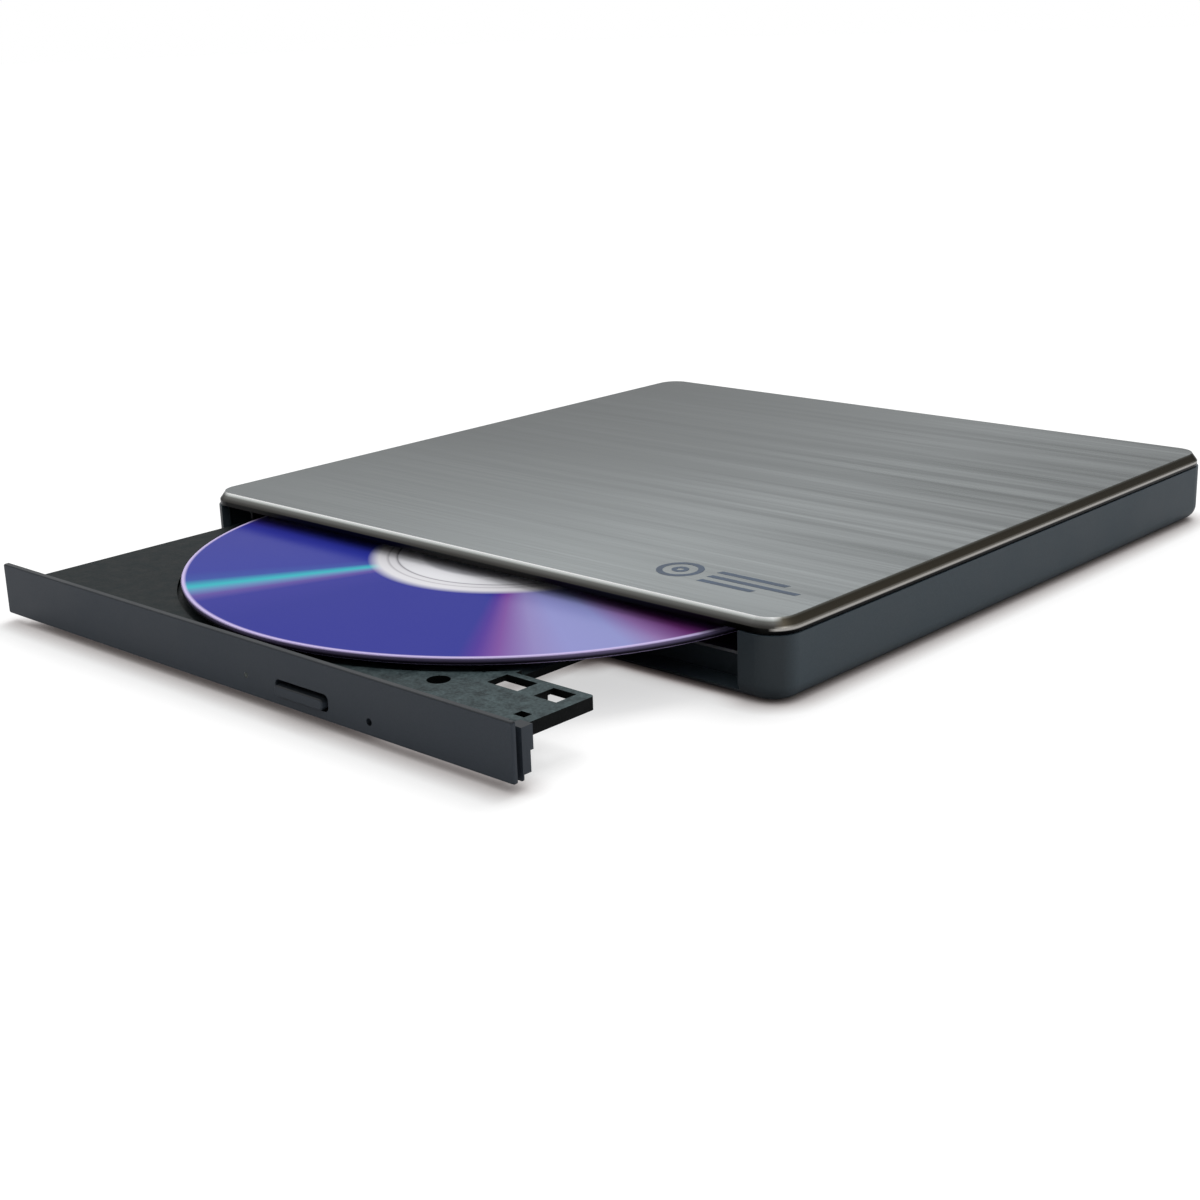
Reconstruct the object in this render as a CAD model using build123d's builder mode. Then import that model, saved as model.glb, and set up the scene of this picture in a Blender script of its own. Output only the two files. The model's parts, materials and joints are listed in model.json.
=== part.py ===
from build123d import *
import os

# External slim optical drive: a 9.5 mm tray-loading drive inside a flat USB enclosure.
# Frame: +Z up, front of the drive towards -Y, origin at the centre of the enclosure's underside.
# The drive is drawn with its tray part of the way out and a 120 mm disc on the spindle.

os.makedirs("parts", exist_ok=True)

# ---------------------------------------------------------------- driving dimensions (mm)
# enclosure
case_width = 143.8
case_depth = 143.6
case_height = 11.0
case_corner = 5.0
case_wall = 1.8
case_floor = 1.2
case_edge_round = 2.8
plate_inset = 0.1
plate_top = 13.7
plate_bottom = 11.3
plate_sheet = 1.0
plate_corner = 5.4
plate_bevel_width = 1.1
plate_bevel_height = 1.5
foot_radius = 4.5
foot_drop = 0.3
foot_pocket = 0.7
foot_reach = 57.0
# slim drive inside the enclosure
drive_centre = -1.56
drive_width = 128.0
drive_front = -66.5
drive_rear = 59.0
pan_bottom = 1.5
sheet = 0.5
drive_top = 11.0
step_wall_x = 35.9
step_floor = 5.4
# tray and bezel, drawn this far out of the enclosure
tray_out = 49.0
bezel_width = 131.0
bezel_offset = -0.55
bezel_bottom = 1.3
bezel_top = 10.6
bezel_plate = 2.0
bezel_depth = 3.3
tray_left = -64.0
tray_right = 34.7
tray_rear = 7.3
tray_top = 7.8
tray_under = 5.7
tray_wall = 1.5
tray_wall_bottom = 2.7
box_left = -60.8
box_right = 31.0
wing_right = 59.9
wing_rear = -100.2
wing_sheet_under = 7.0
shelf_right = 43.5
shelf_rear = -84.0
recess_radius = 60.8
recess_floor = 6.9
# disc and spindle
disc_radius = 60.0
disc_hole = 7.5
disc_bottom = 8.5
disc_thick = 1.2
disc_setback = 64.3
# sled that carries the lens along a 45 degree line from the spindle, 34 mm outwards from where it is drawn
lens_rest = 24.0
rod_radius = 1.0
rod_height = 4.2
rod_offset = 15.5
screw_offset = -20.5
running_gap = 0.05
# USB socket in the rear wall
socket_x = 20.0
socket_z = 5.95
socket_width = 7.7
socket_height = 3.9
socket_wall = 0.35
# rating label on the underside
label_x = (-39.5, 19.5)
label_y = (5.5, 39.5)

# ---------------------------------------------------------------- places worked out from them
front = -case_depth / 2
bezel_front = front + 0.1 - tray_out
bezel_back = bezel_front + bezel_plate
tray_front = bezel_front + bezel_depth + 0.05
bezel_centre = drive_centre + bezel_offset
bezel_left = bezel_centre - bezel_width / 2
bezel_right = bezel_centre + bezel_width / 2
mouth_gap = 0.3
mouth_left = bezel_left - mouth_gap
mouth_right = bezel_right + mouth_gap
drive_left = drive_centre - drive_width / 2
drive_right = drive_centre + drive_width / 2
pan_top = pan_bottom + sheet
disc_y = bezel_front + disc_setback
disc_top = disc_bottom + disc_thick
plate_width = case_width - 2 * plate_inset
plate_depth = case_depth - 2 * plate_inset
frame_bottom = case_height + 0.05
frame_top = plate_top - plate_sheet
screw_places = [(-64.5, 64.0), (64.5, 64.0), (66.3, -56.0)]
foot_places = [(x, y) for x in (-foot_reach, foot_reach) for y in (-foot_reach, foot_reach)]
shut = tray_out    # how far the tray travels inwards from where it is drawn


def block(x_span, y_span, z_span, mode=Mode.ADD):
    """A box between three pairs of limits, added to (or cut from) the part being built."""
    middle = [(low + high) / 2 for low, high in (x_span, y_span, z_span)]
    size = [high - low for low, high in (x_span, y_span, z_span)]
    with Locations(tuple(middle)):
        Box(*size, mode=mode)


def pillar(x, y, radius, z_span, mode=Mode.ADD):
    """An upright cylinder, added to (or cut from) the part being built."""
    with Locations((x, y, (z_span[0] + z_span[1]) / 2)):
        Cylinder(radius, z_span[1] - z_span[0], mode=mode)


def rod_y(x, z, radius, y_span, mode=Mode.ADD):
    """A cylinder along Y, added to (or cut from) the part being built."""
    with Locations(Location((x, (y_span[0] + y_span[1]) / 2, z), (90, 0, 0))):
        Cylinder(radius, y_span[1] - y_span[0], mode=mode)


def rod_x(y, z, radius, x_span, mode=Mode.ADD):
    """A cylinder along X, added to (or cut from) the part being built."""
    with Locations(Location(((x_span[0] + x_span[1]) / 2, y, z), (0, 90, 0))):
        Cylinder(radius, x_span[1] - x_span[0], mode=mode)


def sled_plane(height):
    """Plane at a height with its origin on the spindle and local x along the sled's travel."""
    return Plane(origin=(0, disc_y, height), x_dir=(-1, 1, 0), z_dir=(0, 0, 1))


def sled_block(x_span, y_span, z_span, mode=Mode.ADD):
    """A box in the sled's own directions."""
    with BuildSketch(sled_plane(z_span[0])) as outline:
        with Locations(((x_span[0] + x_span[1]) / 2, (y_span[0] + y_span[1]) / 2)):
            Rectangle(x_span[1] - x_span[0], y_span[1] - y_span[0])
    extrude(outline.sketch, amount=z_span[1] - z_span[0], mode=mode)


def sled_pillar(places, radius, z_span, mode=Mode.ADD):
    """Upright cylinders at places given in the sled's own directions."""
    with BuildSketch(sled_plane(z_span[0])) as outline:
        with Locations(*places):
            Circle(radius)
    extrude(outline.sketch, amount=z_span[1] - z_span[0], mode=mode)


def sled_rod(y, height, radius, x_span, mode=Mode.ADD):
    """A cylinder along the sled's travel, at a distance y beside the spindle."""
    level = sled_plane(height)
    start = level.from_local_coords((x_span[0], y, 0))
    with BuildSketch(Plane(origin=start, x_dir=level.y_dir, z_dir=level.x_dir)) as outline:
        Circle(radius)
    extrude(outline.sketch, amount=x_span[1] - x_span[0], mode=mode)


# ---------------------------------------------------------------- enclosure
inner_width = case_width - 2 * case_wall
inner_depth = case_depth - 2 * case_wall
board_bottom = 3.0
socket_gap = 0.3
boss_radius = 2.3
boss_top = 6.0
screw_radius = 0.95
screw_head = 1.8
head_depth = 0.7
rib_thick = 1.2
ledge_left = 36.6

with BuildPart() as lower_case:
    with BuildSketch():
        RectangleRounded(case_width, case_depth, case_corner)
    extrude(amount=case_height)
    fillet(lower_case.faces().sort_by(Axis.Z)[0].edges(), case_edge_round)
    with BuildSketch(Plane.XY.offset(case_floor)):
        RectangleRounded(inner_width, inner_depth, case_corner - case_wall)
    extrude(amount=case_height, mode=Mode.SUBTRACT)
    # mouth at the front, where the bezel closes the case
    block((mouth_left, mouth_right), (front - 1, front + case_wall + 0.1), (case_floor, case_height + 1),
          Mode.SUBTRACT)
    # low ribs that carry the drive's pan
    for rib_y in (-60.0, -30.0, 0.0, 30.0, 55.0):
        block((drive_left + 3.5, step_wall_x - 3), (rib_y, rib_y + rib_thick), (case_floor, pan_bottom))
    # ledge under the raised side of the drive: a front panel, cross ribs and one long rib
    ledge_top = step_floor - sheet - 0.05
    block((ledge_left, inner_width / 2), (drive_front, drive_front + rib_thick), (case_floor, ledge_top))
    for rib_y in (-30.0, 5.0, 40.0):
        block((ledge_left, drive_right), (rib_y, rib_y + rib_thick), (case_floor, ledge_top))
    ledge_middle = (ledge_left + drive_right) / 2
    block((ledge_middle, ledge_middle + rib_thick), (drive_front, drive_rear - 1), (case_floor, ledge_top))
    # bridge board stand-offs behind the drive
    for rib_x in (-8.0, 54.0):
        block((rib_x, rib_x + 2), (drive_rear + 2.5, inner_depth / 2), (case_floor, board_bottom))
    # screw bosses with their holes and sunk heads
    for x, y in screw_places:
        pillar(x, y, boss_radius, (case_floor, boss_top))
        pillar(x, y, screw_radius + 0.05, (0, boss_top), Mode.SUBTRACT)
        pillar(x, y, screw_head + 0.1, (0, head_depth), Mode.SUBTRACT)
    # foot pockets and the shallow recess for the rating label
    for x, y in foot_places:
        pillar(x, y, foot_radius + 0.15, (0, foot_pocket), Mode.SUBTRACT)
    recess_x = (label_x[0] - 0.5, label_x[1] + 0.5)
    recess_y = (label_y[0] - 0.5, label_y[1] + 0.5)
    block(recess_x, recess_y, (0, 0.15), Mode.SUBTRACT)
    # USB opening in the rear wall
    opening_x = socket_width / 2 + socket_gap
    opening_z = socket_height / 2 + socket_gap
    block((socket_x - opening_x, socket_x + opening_x), (inner_depth / 2 - 0.2, case_depth / 2 + 1),
          (socket_z - opening_z, socket_z + opening_z), Mode.SUBTRACT)

with BuildPart() as top_cover_frame:
    # ring and cross ribs bonded under the metal plate
    ring_inside = 128.0
    ring_clearance = plate_sheet + 0.2
    with BuildSketch(Plane.XY.offset(frame_bottom)):
        RectangleRounded(plate_width - 2 * ring_clearance, plate_depth - 2 * ring_clearance,
                         plate_corner - ring_clearance)
        RectangleRounded(ring_inside, ring_inside, 3, mode=Mode.SUBTRACT)
    extrude(amount=frame_top - frame_bottom)
    rib_end = ring_inside / 2 + 1
    for rib in (-40.0, 0.0, 40.0):
        block((-rib_end, rib_end), (rib - 1, rib + 1), (frame_bottom, frame_top))
        block((rib - 1, rib + 1), (-rib_end, rib_end), (frame_bottom, frame_top))
    # locating lip inside the case wall, left out across the mouth
    lip_bottom = 9.5
    lip_gap = 0.2
    lip_thick = 1.0
    lip_inset = lip_gap + lip_thick
    with BuildSketch(Plane.XY.offset(lip_bottom)):
        RectangleRounded(inner_width - 2 * lip_gap, inner_depth - 2 * lip_gap, 3)
        RectangleRounded(inner_width - 2 * lip_inset, inner_depth - 2 * lip_inset, 2, mode=Mode.SUBTRACT)
        with Locations((0, front)):
            Rectangle(case_width, 2 * abs(front - drive_front), mode=Mode.SUBTRACT)
    extrude(amount=frame_bottom - lip_bottom)
    for x, y in screw_places:
        pillar(x, y, boss_radius - 0.1, (boss_top + 0.05, frame_bottom + 0.5))
        pillar(x, y, screw_radius + 0.05, (boss_top, frame_top - 0.6), Mode.SUBTRACT)

with BuildPart() as top_cover_plate:
    with BuildSketch(Plane.XY.offset(plate_bottom)):
        RectangleRounded(plate_width, plate_depth, plate_corner)
    extrude(amount=plate_top - plate_bottom)
    top_face = top_cover_plate.faces().sort_by(Axis.Z)[-1]
    chamfer(top_face.edges(), plate_bevel_width, plate_bevel_height, reference=top_face)
    with BuildSketch(Plane.XY.offset(plate_bottom)):
        RectangleRounded(plate_width - 2 * plate_sheet, plate_depth - 2 * plate_sheet,
                         plate_corner - plate_sheet)
    extrude(amount=frame_top - plate_bottom, mode=Mode.SUBTRACT)

with BuildPart() as rubber_feet:
    for x, y in foot_places:
        pillar(x, y, foot_radius, (-foot_drop, foot_pocket))
    fillet(rubber_feet.edges().group_by(Axis.Z)[0], 0.25)

with BuildPart() as case_screws:
    cross_long = 1.2
    cross_half = 0.2
    cross_depth = (0, 0.35)
    for x, y in screw_places:
        pillar(x, y, screw_head, (0.05, head_depth))
        pillar(x, y, screw_radius, (head_depth, frame_top - 0.8))
        block((x - cross_long, x + cross_long), (y - cross_half, y + cross_half), cross_depth, Mode.SUBTRACT)
        block((x - cross_half, x + cross_half), (y - cross_long, y + cross_long), cross_depth, Mode.SUBTRACT)

with BuildPart() as rating_label:
    with BuildSketch(Plane.XY.offset(0.03)):
        with Locations(((label_x[0] + label_x[1]) / 2, (label_y[0] + label_y[1]) / 2)):
            RectangleRounded(label_x[1] - label_x[0], label_y[1] - label_y[0], 1.5)
    extrude(amount=0.12)

# ---------------------------------------------------------------- USB bridge at the rear
socket_mouth = case_depth / 2 - 0.5
socket_length = 9.0
socket_depth = 8.6
board_top = board_bottom + 1.0
board_front = drive_rear + 1.3
plug_z = (6.9, 8.3)

with BuildPart() as usb_bridge_board:
    block((-12, 60), (board_front, inner_depth / 2 - 1), (board_bottom, board_top))
    for x in (-10.0, 58.0):
        pillar(x, board_front + 1.9, 0.8, (board_bottom, board_top), Mode.SUBTRACT)

with BuildPart() as bridge_chip:
    block((-4, 2), (62, 68), (board_top, board_top + 0.9))

with BuildPart() as bridge_connector:
    block((40.5, 57.5), (board_front + 1, board_front + 4.5), (board_top, 9.4))
    block((41.5, 56.5), (board_front + 0.9, board_front + 3.7), plug_z, Mode.SUBTRACT)

with BuildPart() as usb_socket_shell:
    with BuildSketch(Plane.XZ.offset(-socket_mouth)):
        with Locations((socket_x, socket_z)):
            RectangleRounded(socket_width, socket_height, 0.7)
    extrude(amount=socket_length)
    with BuildSketch(Plane.XZ.offset(-socket_mouth)):
        with Locations((socket_x, socket_z)):
            RectangleRounded(socket_width - 2 * socket_wall, socket_height - 2 * socket_wall, 0.5)
    extrude(amount=socket_depth, mode=Mode.SUBTRACT)

with BuildPart() as usb_socket_tongue:
    tongue_back = socket_mouth - socket_depth
    tongue_z = (socket_z - 0.45, socket_z + 0.35)
    root_z = (socket_z - 1.45, socket_z + 1.45)
    block((socket_x - 2.5, socket_x + 2.5), (tongue_back, tongue_back + 7.0), tongue_z)
    block((socket_x - 3.3, socket_x + 3.3), (tongue_back, tongue_back + 2.0), root_z)

# ---------------------------------------------------------------- drive chassis
with BuildPart() as chassis_base:
    wall_top = drive_top - sheet - 0.05
    step_inner = step_wall_x - sheet
    block((drive_left, step_wall_x), (drive_front, drive_rear), (pan_bottom, pan_top))
    block((step_inner, step_wall_x), (drive_front, drive_rear), (pan_bottom, step_floor))
    block((step_inner, drive_right), (drive_front, drive_rear), (step_floor - sheet, step_floor))
    block((drive_left, drive_left + sheet), (drive_front, drive_rear), (pan_bottom, wall_top))
    block((drive_right - sheet, drive_right), (drive_front, drive_rear), (step_floor - sheet, wall_top))
    block((drive_left, step_wall_x), (drive_rear - sheet, drive_rear), (pan_bottom, wall_top))
    block((step_inner, drive_right), (drive_rear - sheet, drive_rear), (step_floor - sheet, wall_top))
    # opening for the drive's connector
    block((39, 59), (drive_rear - 1, drive_rear + 1), (step_floor + 0.4, 10.0), Mode.SUBTRACT)
    # side holes for the cover screws, right through from side to side
    cover_screw_z = 9.5
    cover_screw_y = (-40.0, 45.0)
    for y in cover_screw_y:
        rod_x(y, cover_screw_z, 0.75, (-case_width, case_width), Mode.SUBTRACT)

stud_x = 27.8
stud_radius = 1.0
hook_y = -108.0
with BuildPart() as latch_stud:
    pillar(stud_x, hook_y + shut, stud_radius, (pan_top, 4.2))
    chamfer(latch_stud.edges().group_by(Axis.Z)[-1], 0.25)

with BuildPart() as chassis_cover:
    lip = 0.5
    lip_slack = 0.04
    cover_under = drive_top - sheet
    lip_z = (8.8, cover_under)
    block((drive_left - lip, drive_right + lip), (drive_front, drive_rear + lip), (cover_under, drive_top))
    for x in (drive_left - lip, drive_right + lip_slack):
        block((x, x + lip - lip_slack), (drive_front, drive_rear + lip), lip_z)
    block((drive_left - lip, 38), (drive_rear + lip_slack, drive_rear + lip), lip_z)
    # shallow round pressing over the hub, seen from inside the drive
    pillar(0, disc_y + shut, 14, (cover_under, cover_under + 0.15), Mode.SUBTRACT)
    for y in cover_screw_y:
        rod_x(y, cover_screw_z, 0.75, (-case_width, case_width), Mode.SUBTRACT)

with BuildPart() as chassis_screws:
    for y in cover_screw_y:
        for side, x in ((-1, drive_left - lip), (1, drive_right + lip)):
            shank_x = sorted((x - side * 1.2, x + side * 0.1))
            head_x = sorted((x + side * 0.02, x + side * 0.38))
            rod_x(y, cover_screw_z, 0.7, shank_x)
            rod_x(y, cover_screw_z, 1.4, head_x)

with BuildPart() as drive_board:
    drive_board_top = 6.8
    block((38, 61), (42, 57.5), (6.0, drive_board_top))

with BuildPart() as drive_connector:
    connector_back = drive_rear + 1.2
    block((40, 58), (54, connector_back), (drive_board_top, 9.4))
    block((41.5, 56.5), (connector_back, connector_back + 0.8), (plug_z[0] + 0.1, plug_z[1] - 0.1))

with BuildPart() as flex_cable:
    ribbon = 0.12
    low = pan_top + 0.02
    high = step_floor + 0.03
    strip_y = (44, 54)
    riser_x = (step_inner - 0.4, step_inner - 0.4 + ribbon)
    block((-20, riser_x[1]), strip_y, (low, low + ribbon))
    block(riser_x, strip_y, (low, high + ribbon))
    block((riser_x[0], 41), strip_y, (high, high + ribbon))
    block((-20, -8), (-10, strip_y[1]), (low, low + ribbon))

# ---------------------------------------------------------------- telescopic rails
rail_bottom = 2.2
rail_top = 5.4
rail_width = 3.5
rail_gap = 0.3
rail_front = -52.0 - tray_out / 2
rail_rear = 50.0 - tray_out / 2
tongue_reach = 0.9
runner_z = (3.45, 4.25)
groove_z = (runner_z[0] - 0.15, runner_z[1] + 0.15)


def rail(x_span, groove_span):
    """A rail bar with the groove that the tray's tongue runs in."""
    block(x_span, (rail_front, rail_rear), (rail_bottom, rail_top))
    block(groove_span, (rail_front - 1, rail_rear + 1), groove_z, Mode.SUBTRACT)


with BuildPart() as left_rail:
    rail((box_left - rail_gap - rail_width, box_left - rail_gap), (box_left - 1.5, box_left))

with BuildPart() as right_rail:
    rail((box_right + rail_gap, box_right + rail_gap + rail_width), (box_right, box_right + 1.5))

# ---------------------------------------------------------------- tray
light_x = 3.53
light_z = 4.54
pinhole_x = 33.06
pinhole_z = 3.56
stem_x = (15.5, 18.5)
damper_places = [(-12, 17.5), (-12, -21.5), (50, 23.2), (45, -27.5)]

with BuildPart() as tray:
    # top plate with its wing at the front right, and a short shelf behind the wing's inner end
    with BuildSketch(Plane.XY.offset(tray_under)):
        with BuildLine():
            Polyline((tray_left, tray_front), (wing_right, tray_front), (wing_right, wing_rear),
                     (shelf_right, wing_rear), (shelf_right, shelf_rear), (tray_right, shelf_rear),
                     (tray_right, tray_rear), (tray_left, tray_rear), close=True)
        make_face()
    extrude(amount=tray_top - tray_under)
    fillet(tray.edges().filter_by(Axis.Z).sort_by(Axis.Y)[-2:], 3.0)
    fillet(tray.edges().filter_by(Axis.Z).sort_by(Axis.X)[-2:], 0.8)
    # box walls under the plate
    with BuildSketch(Plane.XY.offset(tray_wall_bottom)):
        with Locations(((box_left + box_right) / 2, (tray_front + tray_rear) / 2)):
            Rectangle(box_right - box_left, tray_rear - tray_front)
            Rectangle(box_right - box_left - 2 * tray_wall, tray_rear - tray_front - 2 * tray_wall,
                      mode=Mode.SUBTRACT)
    extrude(amount=tray_under - tray_wall_bottom)
    # tongues that run in the rails
    block((box_left - tongue_reach, box_left), (tray_front + 5, tray_rear - 2), runner_z)
    block((box_right, box_right + tongue_reach), (wing_rear + 4, tray_rear - 2), runner_z)
    # disc recess, open on the right where the disc overhangs
    pillar(0, disc_y, recess_radius, (recess_floor, tray_top + 1), Mode.SUBTRACT)
    # window over the spindle and the sled, with a notch through the recess wall for the lens
    window = (tray_under - 0.1, tray_top + 1)
    sled_pillar([(0, 0)], 18.4, window, Mode.SUBTRACT)
    sled_block((10, 60), (-17.5, 17.5), window, Mode.SUBTRACT)
    sled_block((50, 64), (-7.5, 7.5), window, Mode.SUBTRACT)
    # screw holes for the damper screws
    sled_pillar(damper_places, 1.05, (tray_under - 0.1, recess_floor - 0.3), Mode.SUBTRACT)
    # two square holes in the wing, a round one beside it, and a small blind pocket at its front end
    right_through = (0.0, tray_top + 1)
    square_hole_y = (wing_rear - 5.6, wing_rear - 1.3)
    block((43.0, 49.5), square_hole_y, right_through, Mode.SUBTRACT)
    block((52.8, 57.4), square_hole_y, right_through, Mode.SUBTRACT)
    block((wing_right - 4.1, wing_right - 1.9), (-113.0, -111.3), (6.2, tray_top + 1), Mode.SUBTRACT)
    pillar(36.45, -109.5, 1.85, right_through, Mode.SUBTRACT)
    # the wing is a thin sheet with a rib and a side wall, open underneath towards the rear
    hollow_z = (tray_under - 0.1, wing_sheet_under)
    block((40.6, 50.7), (tray_front + 1.0, wing_rear - 0.9), hollow_z, Mode.SUBTRACT)
    block((51.6, wing_right - 1.0), (-110.3, wing_rear - 0.9), hollow_z, Mode.SUBTRACT)
    # its rear rib is shallower than the side wall
    rear_rib_y = (wing_rear - 1.4, wing_rear + 1)
    block((40.6, wing_right - 1.0), rear_rib_y, (tray_under - 0.1, wing_sheet_under - 0.6), Mode.SUBTRACT)
    # blind pockets in the top face, at the wing's inner edge and in front of the recess
    pocket_z = (6.3, tray_top + 1)
    block((tray_right + 1.1, tray_right + 4.9), (wing_rear - 2.9, wing_rear + 1), pocket_z, Mode.SUBTRACT)
    block((26.6, 30.2), (-108.2, -106.6), pocket_z, Mode.SUBTRACT)
    # openings in the box walls for the button stem, the light pipe and the stud
    front_cut = (tray_front - 0.1, tray_front + tray_wall + 0.1)
    rear_cut = (tray_rear - tray_wall - 0.1, tray_rear + 0.1)
    block((stem_x[0] - 0.9, stem_x[1] + 0.9), front_cut, (tray_wall_bottom - 0.1, 5.3), Mode.SUBTRACT)
    block((light_x - 0.85, light_x + 0.85), front_cut, (light_z - 0.85, light_z + 0.85), Mode.SUBTRACT)
    block((stud_x - 1.8, stud_x + 1.7), rear_cut, (tray_wall_bottom - 0.1, 4.6), Mode.SUBTRACT)
    # guide post for the ejector
    ejector_x = 22.0
    ejector_z = 4.2
    block((ejector_x - 2.2, ejector_x + 2.2), (-20, -18.5), (tray_wall_bottom, tray_under))
    rod_y(ejector_x, ejector_z, 1.08, (-21, tray_rear + 0.1), Mode.SUBTRACT)

with BuildPart() as tray_bottom_cover:
    block((box_left + 0.1, 25.0), (tray_front + 0.2, tray_rear - 0.2), (2.25, 2.65))
    # vent slots
    vent_y = (-99.0, -97.5)
    for x in range(-50, 16, 9):
        block((x, x + 5), vent_y, (2, 3), Mode.SUBTRACT)

with BuildPart() as front_bezel:
    with BuildSketch(Plane.XZ.offset(-bezel_back)):
        with Locations((bezel_centre, (bezel_bottom + bezel_top) / 2)):
            RectangleRounded(bezel_width, bezel_top - bezel_bottom, 0.4)
    extrude(amount=bezel_plate)
    fillet(front_bezel.faces().sort_by(Axis.Y)[0].edges(), 0.3)
    # the plate's back slopes away from its top edge
    slope_foot = bezel_top - 1.6
    slope_top = bezel_top + 0.1
    behind = bezel_back + 0.1
    with BuildSketch(Plane.YZ.offset(bezel_left - 1)):
        with BuildLine():
            Polyline((behind, slope_foot), (bezel_back, slope_foot), (bezel_back - 1.1, slope_top),
                     (behind, slope_top), close=True)
        make_face()
    extrude(amount=bezel_width + 2, mode=Mode.SUBTRACT)
    # rim behind the plate, hollow inside; its lower part stands back from the tray's front
    rim_left = tray_left
    rim_right = wing_right + 2.9
    rim_wall = 1.2
    rim_step_z = 5.2
    rim_z = (1.95, tray_top - 0.05)
    rim_back = bezel_front + bezel_depth
    block((rim_left, rim_right), (bezel_back, rim_back), (rim_step_z, rim_z[1]))
    block((rim_left, rim_right), (bezel_back, rim_back - 0.4), (rim_z[0], rim_step_z))
    hollow_x = (rim_left + rim_wall, rim_right - rim_wall)
    block(hollow_x, (bezel_back, bezel_back + 2), (2.6, 6.9), Mode.SUBTRACT)
    # flange at the right end, taller and deeper at its top, with a groove between it and the plate's face
    groove_depth = 0.7
    groove_y = (bezel_front + 0.7, bezel_front + 1.8)
    flange_x = (wing_right + 0.4, rim_right)
    block(flange_x, (groove_y[1], rim_back + 1.3), (rim_step_z, slope_foot))
    block(flange_x, (groove_y[1], rim_back + 0.7), (rim_z[0], rim_step_z))
    block((rim_right - groove_depth, bezel_right + 1), groove_y, (0, bezel_top + 1), Mode.SUBTRACT)
    # button opening, emergency pinhole and light pipe hole
    button_left = 11.2
    button_right = 22.9
    button_low = 3.0
    button_high = 4.85
    # the opening is wider above the button and at its right end than below it and at its left
    narrow_gap = 0.2
    wide_gap = 0.8
    opening_width = button_right - button_left + narrow_gap + wide_gap
    opening_height = button_high - button_low + narrow_gap + wide_gap
    opening_shift = (wide_gap - narrow_gap) / 2
    with BuildSketch(Plane.XZ.offset(-bezel_back)):
        with Locations(((button_left + button_right) / 2 + opening_shift,
                        (button_low + button_high) / 2 + opening_shift)):
            RectangleRounded(opening_width, opening_height, 0.9)
    extrude(amount=bezel_plate + 1, mode=Mode.SUBTRACT)
    rod_y(pinhole_x, pinhole_z, 0.6, (bezel_front - 1, bezel_back + 1), Mode.SUBTRACT)
    rod_y(light_x, light_z, 0.5, (bezel_front - 1, bezel_back + 1), Mode.SUBTRACT)

with BuildPart() as eject_button:
    button_proud = 0.6
    with BuildSketch(Plane.XZ.offset(-bezel_back)):
        with Locations(((button_left + button_right) / 2, (button_low + button_high) / 2)):
            RectangleRounded(button_right - button_left, button_high - button_low, 0.8)
    extrude(amount=bezel_plate + button_proud)
    fillet(eject_button.faces().sort_by(Axis.Y)[0].edges(), 0.3)
    # flange behind the bezel, and the stem that reaches the switch
    block((button_left - 1.6, button_right + 2.2), (bezel_back + 0.02, bezel_back + 0.6), (2.7, 6.2))
    block(stem_x, (bezel_back, tray_front + 0.95), (3.4, 4.8))

with BuildPart() as led_light_pipe:
    rod_y(light_x, light_z, 0.48, (bezel_front, tray_front + 1.4))
    rod_y(light_x, light_z, 0.75, (bezel_back + 0.02, bezel_back + 0.5))

with BuildPart() as front_board:
    front_board_z = (2.75, 3.35)
    block((-2, 24.5), (tray_front + tray_wall + 0.1, tray_front + 4.7), front_board_z)

with BuildPart() as eject_switch:
    stem_middle = sum(stem_x) / 2
    switch_z = (front_board_z[1], 5.1)
    block((stem_middle - 1.8, stem_middle + 1.8), (tray_front + 1.8, tray_front + 4.1), switch_z)
    block((stem_middle - 0.8, stem_middle + 0.8), (tray_front + 1.6, tray_front + 1.8), (3.7, 4.7))

with BuildPart() as status_led:
    block((light_x - 0.55, light_x + 0.55), (tray_front + 1.75, tray_front + 2.95), (front_board_z[1], 5.1))

with BuildPart() as main_board:
    main_board_z = (2.8, 3.6)
    with BuildSketch(Plane.XY.offset(main_board_z[0])):
        with BuildLine():
            Polyline((19.5, -30), (19.5, tray_rear - 2), (-15.5, tray_rear - 2), close=True)
        make_face()
    extrude(amount=main_board_z[1] - main_board_z[0])

with BuildPart() as main_chips:
    processor = ((8, 17), (-10, -1), 0.9)
    memory = ((1, 5), (-1, 3), 0.8)
    motor_driver = ((12, 18), (0.5, 4.5), 1.4)
    for x_span, y_span, height in (processor, memory, motor_driver):
        block(x_span, y_span, (main_board_z[1], main_board_z[1] + height))

# ---------------------------------------------------------------- traverse: frame, motors and rods
frame_low = 2.9
frame_high = 5.6
plate_inner = 13.5

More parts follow.
